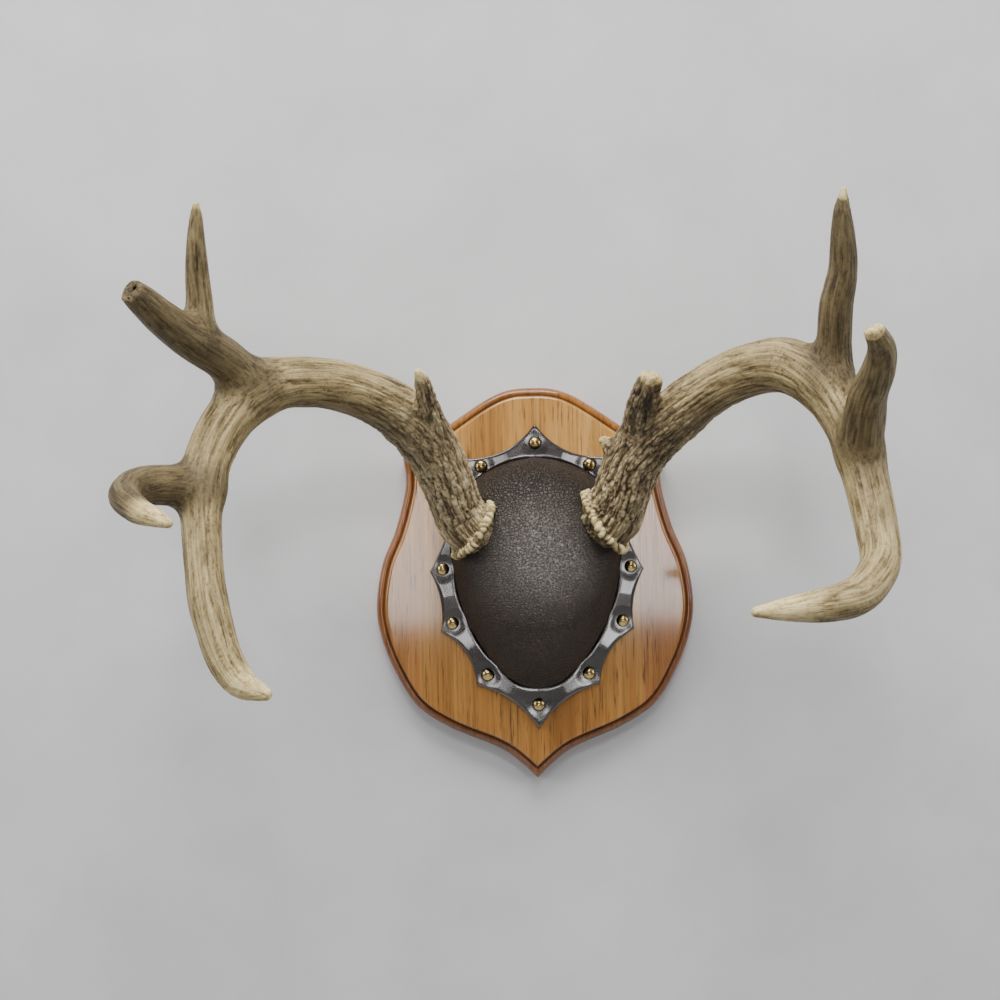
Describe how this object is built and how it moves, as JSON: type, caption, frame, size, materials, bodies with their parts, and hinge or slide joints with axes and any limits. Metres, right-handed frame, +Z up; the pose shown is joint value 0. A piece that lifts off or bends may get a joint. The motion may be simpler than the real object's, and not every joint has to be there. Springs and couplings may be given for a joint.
{
  "type": "deer antlers on shield plaque",
  "caption": "Wall-mounted pair of deer antlers with beaded burrs and forked tines, on a leather-covered cap with a scalloped nailed trim and a carved wooden shield.",
  "frame": {"origin": "centre of the plaque's flat back face, which rests on the wall", "axes": "+Y into the wall (outward normal of the back), +Z up, +X to the right as seen from the front; the antlers reach towards -Y"},
  "size_m": [0.5005, 0.2969, 0.4122],
  "materials": {
    "plaque_wood": "satin lacquered oak, orange brown",
    "cap_leather": "dark brown pebbled leather, satin",
    "trim_leather": "espresso leather, glossy",
    "nail_brass": "antique brass, polished domes",
    "hardware_steel": "zinc plated",
    "antler_bone": "weathered antler: dark grooves, pale ridges and cream tips, matt"
  },
  "bodies": {
    "root": {"shield_plaque": "plaque_wood", "leather_dome": "cap_leather", "scalloped_trim": "trim_leather", "brass_nail_01": "nail_brass", "brass_nail_02": "nail_brass", "brass_nail_03": "nail_brass", "brass_nail_04": "nail_brass", "brass_nail_05": "nail_brass", "brass_nail_06": "nail_brass", "brass_nail_07": "nail_brass", "brass_nail_08": "nail_brass", "brass_nail_09": "nail_brass", "brass_nail_10": "nail_brass", "left_main_beam": "antler_bone", "left_brow_tine": "antler_bone", "left_second_tine": "antler_bone", "left_second_tine_fork": "antler_bone", "left_third_tine": "antler_bone", "right_main_beam": "antler_bone", "right_brow_tine": "antler_bone", "right_second_tine": "antler_bone", "right_third_tine": "antler_bone", "left_antler_stud": "hardware_steel", "right_antler_stud": "hardware_steel", "upper_cap_screw": "hardware_steel", "lower_cap_screw": "hardware_steel", "keyhole_plate": "hardware_steel", "upper_plate_screw": "hardware_steel", "lower_plate_screw": "hardware_steel"}
  },
  "joints": []
}
